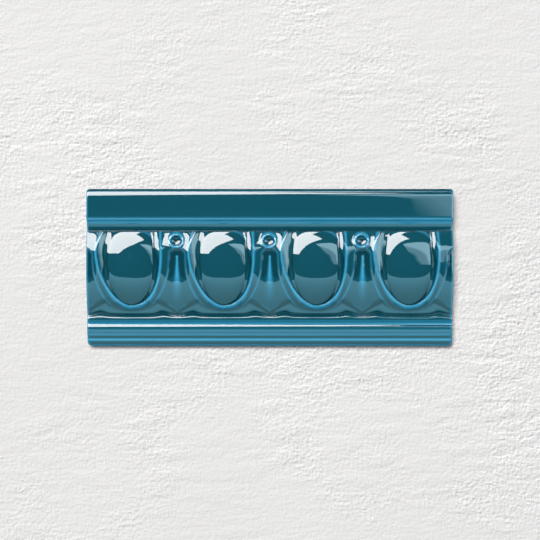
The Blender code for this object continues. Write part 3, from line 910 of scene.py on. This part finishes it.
def glaze_material(look):
    """Glossy blue-green glaze, pale on arrises and dark in hollows, with bare fired clay near the back."""
    material = bpy.data.materials.new("blue_green_glaze")
    material.use_nodes = True
    tree = material.node_tree
    shader = tree.nodes["Principled BSDF"]
    pen = Shade(tree, None)
    place = pen.out(pen.node("ShaderNodeTexCoord"), "Object")
    is_thin = pen.out(pen.node("ShaderNodeAttribute", {"attribute_name": "thin"}), "Fac")
    is_pooled = pen.out(pen.node("ShaderNodeAttribute", {"attribute_name": "pooled"}), "Fac")
    full, pooled, thin = ((*colour, 1.0) for colour in (look.full, look.pooled, look.thin))
    height = pen.out(pen.node("ShaderNodeSeparateXYZ", None, Vector=place), "Z")
    wander = pen.out(pen.node("ShaderNodeTexNoise", None, Vector=place, **WANDER_NOISE)) - 0.5
    glazed = (height + wander * BARE_WANDER).step(BARE_TO, GLAZED_FROM)
    colour = is_thin.blend(is_pooled.blend(full, pooled), thin)
    colour = glazed.blend((*look.body, 1.0), colour)
    tree.links.new(colour.socket, shader.inputs["Base Color"])
    roughness = BARE_ROUGHNESS + glazed * (look.roughness - BARE_ROUGHNESS)
    tree.links.new(roughness.socket, shader.inputs["Roughness"])
    shader.inputs["IOR"].default_value = GLAZE_IOR
    peel = pen.out(pen.node("ShaderNodeTexNoise", None, Vector=place, **PEEL_NOISE))
    bump = pen.node("ShaderNodeBump", None, Strength=PEEL_STRENGTH, Distance=PEEL_DEPTH, Height=peel)
    tree.links.new(bump.outputs[0], shader.inputs["Normal"])
    return material


def plaster_material():
    """Painted rough plaster: ridges drawn aslant by a trowel, a fine grain and small pits painted darker, in
    patches, with the light and shade on its ridges and grain painted into its colour.
    """
    material = bpy.data.materials.new("painted_plaster")
    material.use_nodes = True
    tree = material.node_tree
    shader = tree.nodes["Principled BSDF"]
    pen = Shade(tree, None)
    place = pen.out(pen.node("ShaderNodeTexCoord"), "Object")

    def noise(scale, detail, roughness, vector=place):
        values = {"Vector": vector, "Scale": scale, "Detail": detail, "Roughness": roughness}
        return pen.out(pen.node("ShaderNodeTexNoise", None, **values))

    def surface(vector):
        turn = {"Rotation": TROWEL_TURN, "Scale": TROWEL_STRETCH}
        turned = pen.out(pen.node("ShaderNodeMapping", None, Vector=vector, **turn))
        ridges = ((noise(*RIDGE_NOISE, turned) - 0.5).absolute() * RIDGE_SHARPNESS).clamp()
        return noise(*GRAIN_NOISE, vector) * GRAIN_SHARE + ridges * RIDGE_SHARE

    # Painted light and shade: the relief's height here less its height a step towards the light, stronger in
    # the rough patches, added to the colour
    towards = pen.out(pen.node("ShaderNodeMapping", None, Vector=place, Location=PAINTED_LIGHT_STEP))
    rough = noise(*PATCH_NOISE).step(*PATCH_RANGE)
    pits = noise(*PIT_NOISE).step(*PIT_RANGE)
    tone = noise(*TONE_NOISE) - 0.5
    slope = surface(place) - surface(towards)
    lit = slope * (PAINTED_SHADE_SHARE + rough * PATCH_PAINTED_SHADE_SHARE)
    shade = PLASTER_TONE + tone * TONE_SHARE + lit - pits * rough * PIT_SHARE
    red, green, blue = (shade * part for part in PLASTER_TINT)
    base = pen.node("ShaderNodeCombineColor", None, Red=red, Green=green, Blue=blue)
    tree.links.new(base.outputs[0], shader.inputs["Base Color"])
    shader.inputs["Roughness"].default_value = PLASTER_ROUGHNESS
    shader.inputs["Specular IOR Level"].default_value = 0.0
    return material


# The room's own grey light, and the cards' corners, each round its edge
ROOM_GREY = (0.05, 0.05, 0.05)
OVERHEAD_CORNERS = (
    (-0.167, 0.05, 0.19),
    (0.075, 0.24, 0.16),
    (-0.019, 0.45, 0.16),
    (0.20, 0.95, 0.10),
    (-1.5, 0.95, 0.17),
    (-1.5, 0.25, 0.19),
)
SIDE_CORNERS = ((0.018, 0.177, 0.204), (0.0755, -0.004, 0.0966), (0.28, -0.004, 0.0), (0.28, 0.134, 0.067))
SIDE_FADE = (0.088, 0.112, 0.45, 0.135, 0.170)
LOWER_CORNERS = ((-1.5, -0.35, 0.64), (1.5, -0.35, 0.64), (1.5, -0.35, 0.0), (-1.5, -0.35, 0.0))
LOWER_RISE = (0.06, 0.60, (0.394, 0.634, 0.656))


def add_light(name, place, size, radiance):
    """A flat soft light of a stated radiance, turned to face the tile, that no gloss mirrors."""
    light = bpy.data.lights.new(name, "AREA")
    light.shape = "RECTANGLE"
    light.size, light.size_y = size
    light.energy = radiance * math.pi * size[0] * size[1]
    lamp = bpy.data.objects.new(name, light)
    lamp.location = place
    lamp.rotation_euler = (-Vector(place)).to_track_quat("-Z", "Y").to_euler()
    lamp.visible_camera = False
    lamp.visible_glossy = False
    bpy.context.scene.collection.objects.link(lamp)


def add_card(name, corners, radiance, colour=(1.0, 1.0, 1.0), fade=None, rise=None):
    """A flat luminous card with stated corners, which only the gloss mirrors.

    A fade (start, end, share, upper_start, upper_end) brightens it in two steps as x + y grows: from dark to
    a share of its radiance, and then to all of it. A rise (start, end, colour) changes it from another colour
    as z grows.
    """
    mesh = bpy.data.meshes.new(name)
    mesh.from_pydata(corners, [], [range(len(corners))])
    material = bpy.data.materials.new(name)
    material.use_nodes = True
    nodes = material.node_tree.nodes
    nodes.remove(nodes["Principled BSDF"])
    glow = nodes.new("ShaderNodeEmission")
    glow.inputs["Color"].default_value = (*colour, 1.0)
    glow.inputs["Strength"].default_value = radiance
    if fade or rise:
        pen = Shade(material.node_tree, None)
        where = pen.out(pen.node("ShaderNodeTexCoord"), "Object")
        place = pen.node("ShaderNodeSeparateXYZ", None, Vector=where)
        if fade:
            start, end, share, upper_start, upper_end = fade
            along, low = pen.out(place, "X") + pen.out(place, "Y"), (0.0, 0.0, 0.0)
            lit = along.step(start, end) * share + along.step(upper_start, upper_end) * (1 - share)
        else:
            start, end, low = rise
            lit = pen.out(place, "Z").step(start, end)
        tint = lit.blend((*low, 1.0), (*colour, 1.0))
        material.node_tree.links.new(tint.socket, glow.inputs["Color"])
    material.node_tree.links.new(glow.outputs[0], nodes["Material Output"].inputs["Surface"])
    mesh.materials.append(material)
    card = bpy.data.objects.new(name, mesh)
    card.visible_camera = card.visible_diffuse = card.visible_shadow = False
    bpy.context.scene.collection.objects.link(card)


class SCENE_OT_tile_studio(bpy.types.Operator):
    """Add the floor, the lights and the camera that looks straight down on the tile"""

    bl_idname = "scene.tile_studio_add"
    bl_label = "Studio"
    bl_options = {"REGISTER", "UNDO"}

    def execute(self, context):
        scene = context.scene
        bm = bmesh.new()
        bmesh.ops.create_grid(bm, x_segments=1, y_segments=1, size=PLASTER_REACH)
        mesh = bpy.data.meshes.new("floor")
        bm.to_mesh(mesh)
        bm.free()
        floor = bpy.data.objects.new("floor", mesh)
        mesh.materials.append(plaster_material())
        scene.collection.objects.link(floor)
        floor.visible_glossy = False

        camera = bpy.data.cameras.new("camera")
        camera.lens = camera.sensor_width * CAMERA_FOCUS / IMAGE_SIDE
        camera.clip_start, camera.clip_end = 0.01, 20.0
        seat = bpy.data.objects.new("camera", camera)
        seat.location = CAMERA_PLACE
        scene.collection.objects.link(seat)
        scene.camera = seat

        add_card("overhead_card", OVERHEAD_CORNERS, radiance=15.0)
        add_card("side_card", SIDE_CORNERS, radiance=6.5, colour=(0.62, 0.97, 1.12), fade=SIDE_FADE)
        add_card("lower_card", LOWER_CORNERS, radiance=1.6, colour=(0.82, 1.70, 2.10), rise=LOWER_RISE)
        add_light("key", place=(-0.26, 0.46, 2.6), size=(0.60, 0.60), radiance=54.0)
        add_light("fill", place=(0.0, 0.0, 2.6), size=(5.0, 5.0), radiance=0.25)

        world = bpy.data.worlds.new("studio")
        world.use_nodes = True
        background = world.node_tree.nodes["Background"]
        background.inputs["Color"].default_value = (*ROOM_GREY, 1.0)
        background.inputs["Strength"].default_value = 1.0
        scene.world = world
        scene.view_settings.view_transform = "Standard"
        return {"FINISHED"}


class VIEW3D_PT_moulding_tile(bpy.types.Panel):
    """Lists the tile's sizes and colours, with the buttons that add the tile and its studio"""

    bl_label = "Moulding tile"
    bl_idname = "VIEW3D_PT_moulding_tile"
    bl_space_type = "VIEW_3D"
    bl_region_type = "UI"
    bl_category = "Tile"

    def draw(self, context):
        layout = self.layout
        for settings in (context.scene.tile_sizes, context.scene.glaze_look):
            for name in settings.bl_rna.properties.keys():
                if name not in ("rna_type", "name"):
                    layout.prop(settings, name)
        layout.operator(MESH_OT_moulding_tile.bl_idname)
        layout.operator(SCENE_OT_tile_studio.bl_idname)


CLASSES = (TileSizes, GlazeLook, MESH_OT_moulding_tile, SCENE_OT_tile_studio, VIEW3D_PT_moulding_tile)


def register():
    for cls in CLASSES:
        bpy.utils.register_class(cls)
    bpy.types.Scene.tile_sizes = bpy.props.PointerProperty(type=TileSizes)
    bpy.types.Scene.glaze_look = bpy.props.PointerProperty(type=GlazeLook)


def unregister():
    del bpy.types.Scene.glaze_look
    del bpy.types.Scene.tile_sizes
    for cls in reversed(CLASSES):
        bpy.utils.unregister_class(cls)


def main():
    register()
    bpy.ops.mesh.moulding_tile_add()
    bpy.ops.scene.tile_studio_add()


if __name__ == "__main__":
    main()
